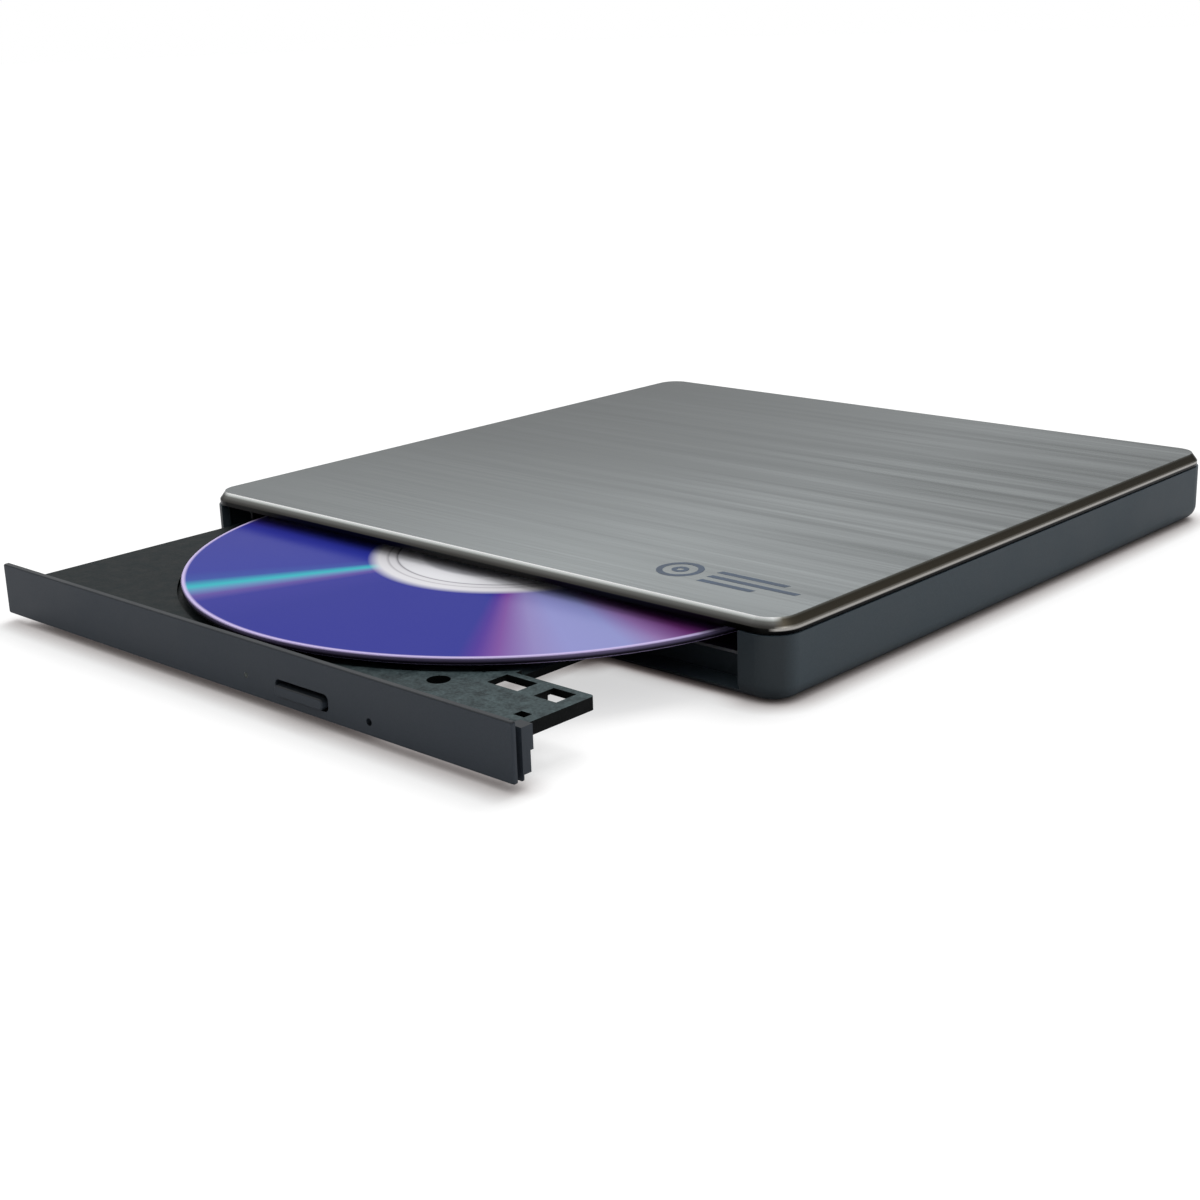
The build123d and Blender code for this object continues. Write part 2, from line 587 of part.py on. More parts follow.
with BuildPart() as traverse_frame:
    with BuildSketch(sled_plane(frame_low)):
        with BuildLine():
            Polyline((-15, -20), (-10, -25), (62, -25), (68, -16), (68, 15), (63, 20), (-11, 20), (-15, 16),
                     close=True)
        make_face()
        with BuildLine():
            Polyline((plate_inner, -23.5), (61.2, -23.5), (66, -16.3), (66, 14.2), (61.8, 18.4),
                     (plate_inner, 18.4), close=True)
        make_face(mode=Mode.SUBTRACT)
    extrude(amount=frame_high - frame_low)
    # pocket that leaves a floor under the spindle motor
    sled_pillar([(0, 0)], 13.4, (frame_low + 0.6, frame_high + 1), Mode.SUBTRACT)
    sled_block((0.4, plate_inner + 1), (-23.6, -16.9), (frame_low - 1, frame_high + 1), Mode.SUBTRACT)
    # ears for the dampers
    for x, y in damper_places:
        sled_pillar([(x, y)], 3.9, (3.5, 4.5))
    sled_pillar(damper_places, 3.0, (frame_low - 1, 3.5), Mode.SUBTRACT)
    sled_pillar(damper_places, 3.0, (4.5, frame_high + 1), Mode.SUBTRACT)
    sled_pillar(damper_places, 1.95, (frame_low - 1, frame_high + 1), Mode.SUBTRACT)
    # seats for the guide rods and the end bearing of the lead screw
    for y in (-rod_offset, rod_offset):
        sled_rod(y, rod_height, rod_radius + 0.02, (11, 67.4), Mode.SUBTRACT)
    sled_rod(screw_offset, rod_height, 0.6 + running_gap, (60, 67.5), Mode.SUBTRACT)
    # the ear beside the stud's track is trimmed, so that the frame passes the stud
    trim_left = stud_x - stud_radius - 0.5
    block((trim_left, box_right), (disc_y, tray_rear), (frame_low - 1, frame_high), Mode.SUBTRACT)

with BuildPart() as guide_rods:
    for y in (-rod_offset, rod_offset):
        sled_rod(y, rod_height, rod_radius, (11.1, 67.3))

with BuildPart() as traverse_dampers:
    sled_pillar(damper_places, 2.8, (2.95, 3.5))
    sled_pillar(damper_places, 1.9, (3.5, 4.5))
    sled_pillar(damper_places, 2.8, (4.5, 5.65))
    sled_pillar(damper_places, 1.1, (2.9, 5.7), Mode.SUBTRACT)

with BuildPart() as traverse_screws:
    sled_pillar(damper_places, 2.4, (2.68, 2.93))
    sled_pillar(damper_places, 1.0, (2.93, 6.5))

with BuildPart() as traverse_cover:
    with BuildSketch(sled_plane(frame_high + 0.02)):
        Circle(18)
        with Locations((34.8, 0)):
            RectangleRounded(49.6, 34.2, 2)
        Circle(14, mode=Mode.SUBTRACT)
        with Locations((44, 0)):
            RectangleRounded(52, 15, 2, mode=Mode.SUBTRACT)
    extrude(amount=0.4)

with BuildPart() as spindle_motor_base:
    sled_pillar([(0, 0)], 11.5, (frame_low + 0.6, 5.2))
    fillet(spindle_motor_base.edges().group_by(Axis.Z)[-1], 0.4)
    sled_pillar([(0, 0)], 1.0 + running_gap, (3.8, 6), Mode.SUBTRACT)

with BuildPart() as sled_motor:
    motor_section = Plane(origin=sled_plane(rod_height).from_local_coords((0.8, screw_offset, 0)),
                          x_dir=sled_plane(0).y_dir, z_dir=sled_plane(0).x_dir)
    with BuildSketch(motor_section):
        RectangleRounded(6.0, 2.7, 1.3)
    extrude(amount=10)
    sled_rod(screw_offset, rod_height, 0.6 + running_gap, (8, 11), Mode.SUBTRACT)

with BuildPart() as lead_screw:
    thread_pitch = 3.0
    sled_rod(screw_offset, rod_height, 0.9, (11.0, 62.6))
    sled_rod(screw_offset, rod_height, 0.6, (8.2, 64.6))
    for turn in range(16):
        start = 13.0 + turn * thread_pitch
        sled_rod(screw_offset, rod_height, 1.1, (start, start + 1.2))

# ---------------------------------------------------------------- spindle and disc
with BuildPart() as spindle_rotor:
    # shaft, rotor can, turntable and hub in one revolved profile
    with BuildSketch(Plane(origin=(0, disc_y, 0), x_dir=(1, 0, 0), z_dir=(0, -1, 0))):
        with BuildLine():
            Polyline((0, 3.9), (1.0, 3.9), (1.0, 5.35), (12.0, 5.35), (12.0, 7.0), (13.2, 7.2), (13.2, 8.2),
                     (7.3, 8.2), (7.3, 9.6), (6.7, 10.15), (0, 10.15), close=True)
        make_face()
    revolve(axis=Axis((0, disc_y, 0), (0, 0, 1)))
    # three slots for the chucking claws
    claw_angles = (90, 210, 330)
    claw_width = 2.4
    for angle in claw_angles:
        with BuildSketch(Plane(origin=(0, disc_y, 8.6), x_dir=Vector(1, 0, 0).rotate(Axis.Z, angle),
                               z_dir=(0, 0, 1))):
            with Locations((6, 0)):
                Rectangle(7.2, claw_width + 0.3)
        extrude(amount=3, mode=Mode.SUBTRACT)

with BuildPart() as hub_pad:
    pillar(0, disc_y, 12.8, (8.2, disc_bottom))
    pillar(0, disc_y, 9.5, (8.1, disc_bottom + 1), Mode.SUBTRACT)

claws = []
for angle in claw_angles:
    radial = Vector(1, 0, 0).rotate(Axis.Z, angle)
    with BuildPart() as claw:
        with BuildSketch(Plane(origin=(0, disc_y, 0), x_dir=radial, z_dir=radial.rotate(Axis.Z, -90))):
            with BuildLine():
                Polyline((3.4, 8.75), (6.9, 8.75), (6.9, 9.76), (7.9, 9.84), (7.3, 10.1), (3.4, 10.1),
                         close=True)
            make_face()
        extrude(amount=claw_width / 2, both=True)
    claws.append(claw)

with BuildPart() as disc:
    with BuildSketch(Plane(origin=(0, disc_y, 0), x_dir=(1, 0, 0), z_dir=(0, -1, 0))):
        with BuildLine():
            Polyline((disc_hole, disc_bottom), (17.0, disc_bottom), (17.3, disc_bottom - 0.15),
                     (18.0, disc_bottom - 0.15), (18.3, disc_bottom), (disc_radius - 0.2, disc_bottom),
                     (disc_radius, disc_bottom + 0.2), (disc_radius, disc_top - 0.2),
                     (disc_radius - 0.2, disc_top), (disc_hole, disc_top), close=True)
        make_face()
    revolve(axis=Axis((0, disc_y, 0), (0, 0, 1)))

# ---------------------------------------------------------------- pickup sled and lens
with BuildPart() as pickup_sled:
    with BuildSketch(sled_plane(2.95)):
        with BuildLine():
            Polyline((lens_rest - 9, -17.9), (lens_rest + 3, -17.9), (lens_rest + 7.5, -13.4),
                     (lens_rest + 7.5, 13.4), (lens_rest + 3, 17.9), (lens_rest - 9, 17.9), close=True)
        make_face()
    extrude(amount=2.55)
    for y in (-rod_offset, rod_offset):
        sled_rod(y, rod_height, rod_radius + running_gap, (10, 40), Mode.SUBTRACT)
    # hollow for the lens holder
    sled_block((lens_rest - 4, lens_rest + 4), (-6.5, 6.5), (4.0, 6), Mode.SUBTRACT)
    # arm that follows the lead screw, clear of its crests
    sled_block((lens_rest - 3, lens_rest + 3), (-19.25, -17.9), (3.3, 5.1))

with BuildPart() as lens_holder:
    sled_block((lens_rest - 3, lens_rest + 3), (-5, 5), (4.9, 7.4))
    sled_pillar([(lens_rest, 0)], 2.2, (6.9, 7.5), Mode.SUBTRACT)

with BuildPart() as objective_lens:
    sled_pillar([(lens_rest, 0)], 2.18, (6.92, 7.72))
    fillet(objective_lens.edges().group_by(Axis.Z)[-1], 0.6)

# ---------------------------------------------------------------- latch and ejector
# the lever is drawn released; turned back by latch_swing, its tip stands behind the stud in a shut drive
pivot_x = 21.0
pivot_y = -110.5
latch_swing = 25.0
lever_bottom = 3.4
lever_thick = 0.8
plunger_y = hook_y + 0.9
plunger_z = 4.2
plunger_radius = 0.8
plunger_in = 1.53

with BuildPart() as latch_pin:
    pillar(pivot_x, pivot_y, 0.8, (2.65, tray_under))

with BuildPart() as latch_lever:
    lever_way = Vector(1, 0, 0).rotate(Axis.Z, latch_swing)
    lever_plane = Plane(origin=(pivot_x, pivot_y, lever_bottom), x_dir=lever_way, z_dir=(0, 0, 1))
    hook_front = hook_y + stud_radius + 0.2 - pivot_y
    hook_tip = stud_x + 0.8 - pivot_x
    with BuildSketch(lever_plane):
        with BuildLine():
            Polyline((-1.6, -1.0), (1.6, -1.0), (4.5, hook_front), (hook_tip, hook_front),
                     (hook_tip, hook_front + 1.4), (3.0, hook_front + 1.6), (0.9, hook_front + 0.8),
                     (-0.9, hook_front + 0.8), close=True)
        make_face()
    extrude(amount=lever_thick)
    pillar(pivot_x, pivot_y, 1.6, (lever_bottom, lever_bottom + 1.4))
    pillar(pivot_x, pivot_y, 0.8 + running_gap, (3, 5), Mode.SUBTRACT)

with BuildPart() as latch_solenoid:
    solenoid_x = (4.0, 14.0)
    block(solenoid_x, (plunger_y - 3, plunger_y + 3), (2.75, tray_under - 0.1))
    bore_x = (solenoid_x[0] + 3, solenoid_x[1] + 1)
    rod_x(plunger_y, plunger_z, plunger_radius + running_gap, bore_x, Mode.SUBTRACT)

with BuildPart() as solenoid_plunger:
    plunger_tip = 19.0 - plunger_in
    rod_x(plunger_y, plunger_z, plunger_radius, (plunger_tip - 9.5, plunger_tip))
    rod_x(plunger_y, plunger_z, plunger_radius + 0.3, (plunger_tip - 1.2, plunger_tip))

with BuildPart() as ejector_pusher:
    rod_y(ejector_x, ejector_z, 1.0, (-20.5, tray_rear))
    rod_y(ejector_x, ejector_z, 1.4, (-4.5, -3.5))

with BuildPart() as ejector_spring:
    # pressed coil spring round the pusher, drawn as one ring for each turn
    spring_start = -18.2
    spring_pitch = 1.42
    for turn in range(10):
        with Locations(Location((ejector_x, spring_start + turn * spring_pitch, ejector_z), (90, 0, 0))):
            Torus(1.27, 0.18)

# ---------------------------------------------------------------- write every piece
pieces = {
    "lower_case": lower_case, "top_cover_frame": top_cover_frame, "top_cover_plate": top_cover_plate,
    "rubber_feet": rubber_feet, "case_screws": case_screws, "rating_label": rating_label,
    "usb_bridge_board": usb_bridge_board, "bridge_chip": bridge_chip, "bridge_connector": bridge_connector,
    "usb_socket_shell": usb_socket_shell, "usb_socket_tongue": usb_socket_tongue,
    "chassis_base": chassis_base, "latch_stud": latch_stud, "chassis_cover": chassis_cover,
    "chassis_screws": chassis_screws, "drive_board": drive_board, "drive_connector": drive_connector,
    "flex_cable": flex_cable, "left_rail": left_rail, "right_rail": right_rail,
    "tray": tray, "tray_bottom_cover": tray_bottom_cover, "front_bezel": front_bezel,
    "eject_button": eject_button, "led_light_pipe": led_light_pipe, "front_board": front_board,
    "eject_switch": eject_switch, "status_led": status_led,
    "main_board": main_board, "main_chips": main_chips,
    "traverse_frame": traverse_frame, "guide_rods": guide_rods, "traverse_dampers": traverse_dampers,
    "traverse_screws": traverse_screws, "traverse_cover": traverse_cover,
    "spindle_motor_base": spindle_motor_base, "sled_motor": sled_motor, "lead_screw": lead_screw,
    "spindle_rotor": spindle_rotor, "hub_pad": hub_pad, "disc": disc,
    "pickup_sled": pickup_sled, "lens_holder": lens_holder, "objective_lens": objective_lens,
    "latch_pin": latch_pin, "latch_lever": latch_lever, "latch_solenoid": latch_solenoid,
    "solenoid_plunger": solenoid_plunger, "ejector_pusher": ejector_pusher, "ejector_spring": ejector_spring,
}
for number, claw in enumerate(claws, start=1):
    pieces[f"chuck_claw_{number}"] = claw

for label, piece in pieces.items():
    piece.part.label = label
    export_step(piece.part, f"parts/{label}.step")
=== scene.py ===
import json
import math

import bmesh
import bpy
from mathutils import Matrix, Vector


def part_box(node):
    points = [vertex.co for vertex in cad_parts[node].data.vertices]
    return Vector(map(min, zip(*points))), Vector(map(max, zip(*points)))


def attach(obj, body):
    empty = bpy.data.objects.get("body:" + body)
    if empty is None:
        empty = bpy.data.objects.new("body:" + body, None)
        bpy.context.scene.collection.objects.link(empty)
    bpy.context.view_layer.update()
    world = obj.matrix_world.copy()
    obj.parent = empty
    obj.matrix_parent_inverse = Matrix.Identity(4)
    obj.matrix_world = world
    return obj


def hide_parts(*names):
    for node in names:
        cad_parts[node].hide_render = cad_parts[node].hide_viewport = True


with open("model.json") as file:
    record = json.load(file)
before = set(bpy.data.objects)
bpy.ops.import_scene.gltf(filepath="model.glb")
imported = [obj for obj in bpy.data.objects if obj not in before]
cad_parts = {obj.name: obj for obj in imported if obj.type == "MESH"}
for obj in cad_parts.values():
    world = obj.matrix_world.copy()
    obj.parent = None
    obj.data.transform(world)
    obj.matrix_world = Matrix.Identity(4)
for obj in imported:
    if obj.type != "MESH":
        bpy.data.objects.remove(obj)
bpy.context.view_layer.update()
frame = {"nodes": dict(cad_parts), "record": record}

# The looks of an external slim optical drive: a dark plastic case under a brushed metal plate,
# with its tray drawn out and a violet recordable disc on the spindle.
# Every length is in metres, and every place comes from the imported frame.

MM = 0.001

SCENE = bpy.context.scene
NODES = frame["nodes"]

PLATE_LOW, PLATE_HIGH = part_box("top_cover_plate")
DISC_LOW, DISC_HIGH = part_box("disc")
DISC_CENTRE = (DISC_LOW + DISC_HIGH) / 2
DISC_RADIUS = (DISC_HIGH.x - DISC_LOW.x) / 2
FLOOR_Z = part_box("rubber_feet")[0].z


def srgb(red, green, blue):
    """A display colour, 0 to 255 a channel, as the linear colour that a shader takes."""
    linear = []
    for value in (red, green, blue):
        part = value / 255
        linear.append(part / 12.92 if part <= 0.04045 else ((part + 0.055) / 1.055) ** 2.4)
    return (*linear, 1.0)


CASE_GREY = srgb(61, 73, 80)


# ---------------------------------------------------------------- material kit
MIX_INPUTS = (0, 6, 7)    # a colour Mix node's factor, first and second colour
MIX_OUTPUT = 2


def set_stops(ramp, stops):
    """Gives a new colour ramp its (place, colour) stops. It has two stops from the start."""
    for index, (place, colour) in enumerate(stops):
        stop = ramp.elements[index] if index < 2 else ramp.elements.new(place)
        stop.position = place
        stop.color = colour


class Shader:
    """A node material with one Principled shader and short calls for what feeds it."""

    def __init__(self, name, colour, roughness, metallic=0.0, **settings):
        self.material = bpy.data.materials.new(name)
        self.material.use_nodes = True
        self.tree = self.material.node_tree
        self.principled = self.tree.nodes["Principled BSDF"]
        self.colours = None    # the output with the mottled colour, where a material has one
        self.set("Base Color", colour)
        self.set("Roughness", roughness)
        self.set("Metallic", metallic)
        for socket, value in settings.items():
            self.set(socket.replace("_", " "), value)
        self.material.diffuse_color = colour

    def set(self, socket, value):
        """Sets a fixed value on a socket of the Principled shader."""
        self.principled.inputs[socket].default_value = value

    def link(self, output, target):
        self.tree.links.new(output, target)

    def feed(self, output, socket):
        """Links an output to a socket of the Principled shader."""
        self.link(output, self.principled.inputs[socket])

    def node(self, kind, **properties):
        """A new shader node with some of its properties set."""
        made = self.tree.nodes.new("ShaderNode" + kind)
        for key, value in properties.items():
            setattr(made, key, value)
        return made

    def place(self, scale=(1, 1, 1), origin=(0, 0, 0), turn=0.0):
        """Object coordinates in metres, shifted to an origin, turned about Z and stretched by a scale."""
        source = self.node("TexCoord").outputs["Object"]
        shift = self.node("VectorMath", operation="SUBTRACT")
        shift.inputs[1].default_value = origin
        self.link(source, shift.inputs[0])
        mapping = self.node("Mapping")
        mapping.inputs["Rotation"].default_value = (0, 0, turn)
        mapping.inputs["Scale"].default_value = scale
        self.link(shift.outputs[0], mapping.inputs["Vector"])
        return mapping.outputs[0]

    def noise(self, vector, scale, detail=3.0, roughness=0.5):
        """Noise with a scale in repeats per metre, times any stretch that its vector has."""
        made = self.node("TexNoise")
        made.inputs["Scale"].default_value = scale
        made.inputs["Detail"].default_value = detail
        made.inputs["Roughness"].default_value = roughness
        self.link(vector, made.inputs["Vector"])
        return made.outputs["Fac"]

    def math(self, operation, first, second=0.0):
        """Arithmetic on one or two numbers or outputs."""
        made = self.node("Math", operation=operation)
        for index, value in enumerate((first, second)):
            if isinstance(value, (int, float)):
                made.inputs[index].default_value = value
            else:
                self.link(value, made.inputs[index])
        return made.outputs[0]

    def span(self, value, low, high, new_low, new_high):
        """Maps a value from one pair of limits to another, and stays between the new ones."""
        made = self.node("MapRange")
        for index, number in enumerate((low, high, new_low, new_high), start=1):
            made.inputs[index].default_value = number
        self.link(value, made.inputs[0])
        return made.outputs[0]

    def ramp(self, value, stops):
        """A colour ramp through (place, colour) stops."""
        made = self.node("ValToRGB")
        set_stops(made.color_ramp, stops)
        self.link(value, made.inputs["Fac"])
        return made.outputs["Color"]

    def mix(self, factor, first, second):
        """Mixes two colours or colour outputs by a factor output."""
        made = self.node("Mix", data_type="RGBA")
        for index, value in zip(MIX_INPUTS, (factor, first, second)):
            if isinstance(value, tuple):
                made.inputs[index].default_value = value
            else:
                self.link(value, made.inputs[index])
        return made.outputs[MIX_OUTPUT]

    def bump(self, height, strength, distance):
        """Relief of the surface from a height output."""
        made = self.node("Bump")
        made.inputs["Strength"].default_value = strength
        made.inputs["Distance"].default_value = distance
        self.link(height, made.inputs["Height"])
        self.feed(made.outputs[0], "Normal")

    def axes(self, vector):
        """The X, Y and Z outputs of a vector."""
        made = self.node("SeparateXYZ")
        self.link(vector, made.inputs[0])
        return made.outputs[0], made.outputs[1], made.outputs[2]

    def facing(self):
        """The X, Y and Z outputs of the surface's direction."""
        return self.axes(self.node("NewGeometry").outputs["Normal"])


def shade(colour, factor):
    """The same colour, darker or lighter."""
    return (*[min(1.0, part * factor) for part in colour[:3]], 1.0)


# ---------------------------------------------------------------- materials
def moulded(name, colour, roughness, grain, mottle, grain_depth=0.02 * MM, contrast=0.25, **settings):
    """Moulded plastic: fine spark-eroded grain, and slow changes of colour and gloss.
    grain and mottle are the sizes of the fine and the slow pattern in metres, and contrast is how far
    the colour strays, as a share."""
    made = Shader(name, colour, roughness, **settings)
    spot = made.place()
    fine = made.noise(spot, 1 / grain, detail=2.0)
    slow = made.noise(spot, 1 / mottle, detail=4.0, roughness=0.6)
    blend = made.math("ADD", made.math("MULTIPLY", fine, 0.5), made.math("MULTIPLY", slow, 0.5))
    low = shade(colour, 1 - contrast)
    high = shade(colour, 1 + contrast)
    made.colours = made.ramp(blend, [(0.35, low), (0.65, high)])
    made.feed(made.colours, "Base Color")
    made.feed(made.span(slow, 0.35, 0.65, roughness - 0.05, roughness + 0.06), "Roughness")
    made.bump(fine, 0.35, grain_depth)
    return made


def case_plastic(name):
    """The enclosure's dark blue-grey plastic, with painted shade round its lower edge and on its front faces.
    """
    made = moulded(name, CASE_GREY, 0.45, 0.25 * MM, 18 * MM, contrast=0.12, Specular_IOR_Level=0.4)
    height = made.axes(made.place())[2]
    # painted shade: the lower 2.4 mm of the case and its front-facing faces are mixed towards a darkened copy
    # of its grey
    lower = made.span(height, 0.2 * MM, 2.4 * MM, 0.7, 0.0)
    front = made.span(made.facing()[1], -0.6, -0.08, 0.74, 0.0)
    painted_shade_grey = shade(CASE_GREY, 0.3)
    made.feed(made.mix(front, made.mix(lower, made.colours, painted_shade_grey), painted_shade_grey), "Base Color")
    return made


def bezel_plastic(name):
    """The bezel and button, in the same plastic, with painted shade on its top faces."""
    grey = srgb(56, 63, 71)
    made = moulded(name, grey, 0.42, 0.25 * MM, 18 * MM, contrast=0.1, Specular_IOR_Level=0.35)
    # painted shade: the upward faces are mixed towards a darkened copy of the grey
    top_with_painted_shade = made.span(made.facing()[2], 0.15, 0.6, 0.0, 0.9)
    made.feed(made.mix(top_with_painted_shade, made.colours, shade(grey, 0.22)), "Base Color")
    return made


def tray_plastic():
    """The tray's coarser moulding: blotchy spark-eroded grain, with painted shade that darkens it towards its
    left side.
    """
    made = Shader("tray_plastic", srgb(24, 34, 36), 0.5, Specular_IOR_Level=0.25, IOR=1.3)
    spot = made.place()
    fine = made.noise(spot, 1 / (0.45 * MM), detail=2.0)
    blotch = made.noise(spot, 1 / (2.6 * MM), detail=4.0, roughness=0.65)
    blend = made.math("ADD", made.math("MULTIPLY", fine, 0.35), made.math("MULTIPLY", blotch, 0.65))
    # painted shade: the right ramp is the lit tone, the left a darkened copy of it that takes over towards
    # the left side
    right = made.ramp(blend, [(0.36, srgb(26, 36, 38)), (0.64, srgb(66, 78, 80))])
    left = made.ramp(blend, [(0.36, srgb(7, 13, 14)), (0.64, srgb(20, 28, 30))])
    painted_light_rightward = made.span(made.axes(spot)[0], 0.0, 48 * MM, 0.0, 1.0)
    blotched = made.mix(painted_light_rightward, left, right)
    # only the upward faces carry the blotches; the walls are smooth and get a dark painted shade
    upward = made.span(made.facing()[2], 0.3, 0.8, 0.0, 1.0)
    wall_painted_light = srgb(5, 8, 8)
    made.feed(made.mix(upward, wall_painted_light, blotched), "Base Color")
    made.feed(made.span(blotch, 0.35, 0.65, 0.45, 0.58), "Roughness")
    made.bump(fine, 0.4, 0.08 * MM)
    return made


def brushed_plate():
    """Satin metal sheet, brushed along X: fine hair lines and long darker streaks on its top face.
    Its front edge carries a painted highlight at its top that falls to painted shade at its foot, and its
    right edge a brown painted reflection with a bright painted line of reflected floor."""
    made = Shader("brushed_plate", srgb(170, 176, 176), 0.26, metallic=1.0)
    hair = made.noise(made.place(scale=(14, 2600, 300)), 1.0, detail=3.0, roughness=0.7)
    streak = made.noise(made.place(scale=(6, 250, 60)), 1.0, detail=4.0, roughness=0.6)
    cloud = made.noise(made.place(scale=(6, 14, 6)), 1.0, detail=2.0)
    x, y, z = made.axes(made.place())
    # the streaks gain contrast towards the back right, and painted shade darkens the sheet at its left, right
    # and back
    across = made.span(x, PLATE_LOW.x * 0.3, PLATE_HIGH.x, 0.12, 1.0)
    along = made.span(y, PLATE_LOW.y, 0.0, 0.25, 1.0)
    weight = made.math("MULTIPLY", made.math("MULTIPLY", across, along), 1.25)
    wave = made.math("MULTIPLY", made.math("SUBTRACT", streak, 0.5), weight)
    fine = made.math("MULTIPLY", made.math("SUBTRACT", hair, 0.5), 0.26)
    slow = made.math("MULTIPLY", made.math("SUBTRACT", cloud, 0.5), 0.10)
    total = made.math("ADD", made.math("ADD", wave, fine), slow)
    brushed = made.ramp(made.math("ADD", total, 0.5), [(0.2, srgb(88, 95, 97)), (0.8, srgb(222, 230, 231))])
    left = made.span(x, PLATE_LOW.x, 20 * MM, 0.36, 0.0)
    right = made.span(x, 30 * MM, PLATE_HIGH.x, 0.0, 0.2)
    back = made.span(y, PLATE_LOW.y + 10 * MM, 0.0, 0.0, 0.22)
    painted_plate_shade = made.math("ADD", made.math("ADD", left, right), back)
    top_with_painted_shade = made.mix(painted_plate_shade, brushed, srgb(70, 74, 76))
    height = made.span(z, PLATE_LOW.z, PLATE_HIGH.z, 0.0, 1.0)
    # painted highlight and painted shade down the front edge, by height, in place of its reflections
    front_edge_painted_light = made.ramp(height, [
        (0.0, srgb(14, 14, 14)), (0.3, srgb(26, 26, 25)), (0.4, srgb(58, 57, 54)), (0.5, srgb(70, 69, 67)),
        (0.74, srgb(116, 117, 114)), (0.88, srgb(206, 210, 208)), (1.0, srgb(255, 255, 255)),
    ])
    # painted reflection down the right edge, by height: a bright line low down, dark brown above and lighter
    # at the top
    right_edge_painted_light = made.ramp(height, [
        (0.0, srgb(10, 10, 12)), (0.16, srgb(16, 16, 18)),
        (0.24, srgb(206, 203, 196)), (0.4, srgb(186, 182, 174)),
        (0.5, srgb(92, 86, 74)), (0.86, srgb(84, 79, 68)), (1.0, srgb(150, 150, 144)),
    ])
    facing = made.facing()
    is_right = made.span(facing[0], 0.5, 0.68, 0.0, 1.0)
    edge_painted_light = made.mix(is_right, front_edge_painted_light, right_edge_painted_light)
    is_top = made.span(facing[2], 0.85, 0.98, 0.0, 1.0)
    made.feed(made.mix(is_top, edge_painted_light, top_with_painted_shade), "Base Color")
    made.feed(made.span(total, -0.3, 0.3, 0.30, 0.22), "Roughness")
    relief = made.math("MULTIPLY", made.math("ADD", hair, streak), is_top)
    made.bump(relief, 0.12, 0.01 * MM)
    return made


def violet_disc():
    """Recordable disc: violet-blue data zone with a painted rainbow sheen in coloured sectors, a pale rim and
    a silver hub zone.
    """
    made = Shader("violet_disc", srgb(62, 67, 154), 0.22, metallic=0.2, IOR=1.2, Specular_IOR_Level=0.2)
    x, y, z = made.axes(made.place(origin=DISC_CENTRE))
    radius = made.math("SQRT", made.math("ADD", made.math("MULTIPLY", x, x), made.math("MULTIPLY", y, y)))
    angle = made.math("ARCTAN2", y, x)
    # the painted sheen sectors repeat across the hub, so the angle is taken modulo half a turn
    half = made.math("FRACT", made.math("DIVIDE", made.math("ADD", angle, math.tau), math.pi))
    blue = srgb(20, 28, 132)
    sectors_painted_sheen = [
        (0.00, srgb(72, 36, 112)), (0.11, srgb(42, 46, 140)), (0.28, srgb(36, 46, 142)),
        (0.308, srgb(36, 66, 148)), (0.331, srgb(30, 168, 178)), (0.346, srgb(86, 124, 170)),
        (0.362, srgb(84, 66, 146)), (0.382, srgb(32, 34, 136)), (0.45, blue),
        (0.70, blue), (0.716, srgb(64, 26, 134)), (0.734, srgb(108, 62, 142)), (0.766, srgb(128, 118, 172)),
        (0.795, srgb(128, 130, 184)), (0.845, srgb(126, 130, 182)), (0.875, srgb(126, 96, 150)),
        (0.905, srgb(98, 44, 104)), (0.95, srgb(80, 42, 108)), (1.0, srgb(74, 42, 114)),
    ]
    data = made.ramp(half, sectors_painted_sheen)
    ratio = made.math("DIVIDE", radius, DISC_RADIUS)
    silver = srgb(206, 205, 209)
    rings = made.ramp(ratio, [
        (0.0, srgb(150, 150, 158)), (0.275, srgb(190, 190, 196)), (0.29, srgb(226, 226, 230)),
        (0.355, srgb(214, 214, 218)), (0.36, srgb(120, 118, 124)), (0.365, silver),
        (0.385, silver), (0.388, srgb(140, 138, 142)), (0.392, silver), (0.44, silver),
    ])
    inner = made.span(ratio, 0.415, 0.45, 0.0, 1.0)
    outer = made.span(ratio, 0.984, 0.992, 0.0, 1.0)
    body = made.mix(inner, rings, data)
    face = made.mix(outer, body, srgb(186, 172, 214))
    # the edge wall has a painted highlight near its top and painted shade below
    wall_painted_light = made.mix(made.span(z, -0.1 * MM, 0.3 * MM, 0.0, 1.0), srgb(26, 22, 34), srgb(112, 102, 136))
    is_wall = made.span(ratio, 0.9980, 0.9990, 0.0, 1.0)
    made.feed(made.mix(is_wall, face, wall_painted_light), "Base Color")
    groove = made.noise(made.place(origin=DISC_CENTRE, scale=(30, 30, 30)), 1.0)
    made.feed(made.span(groove, 0.3, 0.7, 0.2, 0.26), "Roughness")
    return made


def sheet_metal(name, colour, roughness):
    """Rolled and plated sheet: faint rolling lines along X and slow dull patches."""
    made = Shader(name, colour, roughness, metallic=1.0)
    lines = made.noise(made.place(scale=(40, 900, 900)), 1.0, detail=3.0)
    patch = made.noise(made.place(), 45.0, detail=4.0)
    both = made.math("ADD", made.math("MULTIPLY", lines, 0.6), made.math("MULTIPLY", patch, 0.4))
    made.feed(made.ramp(both, [(0.3, shade(colour, 0.75)), (0.7, shade(colour, 1.2))]), "Base Color")
    made.feed(made.span(patch, 0.3, 0.7, roughness - 0.06, roughness + 0.1), "Roughness")
    made.bump(lines, 0.15, 0.01 * MM)
    return made


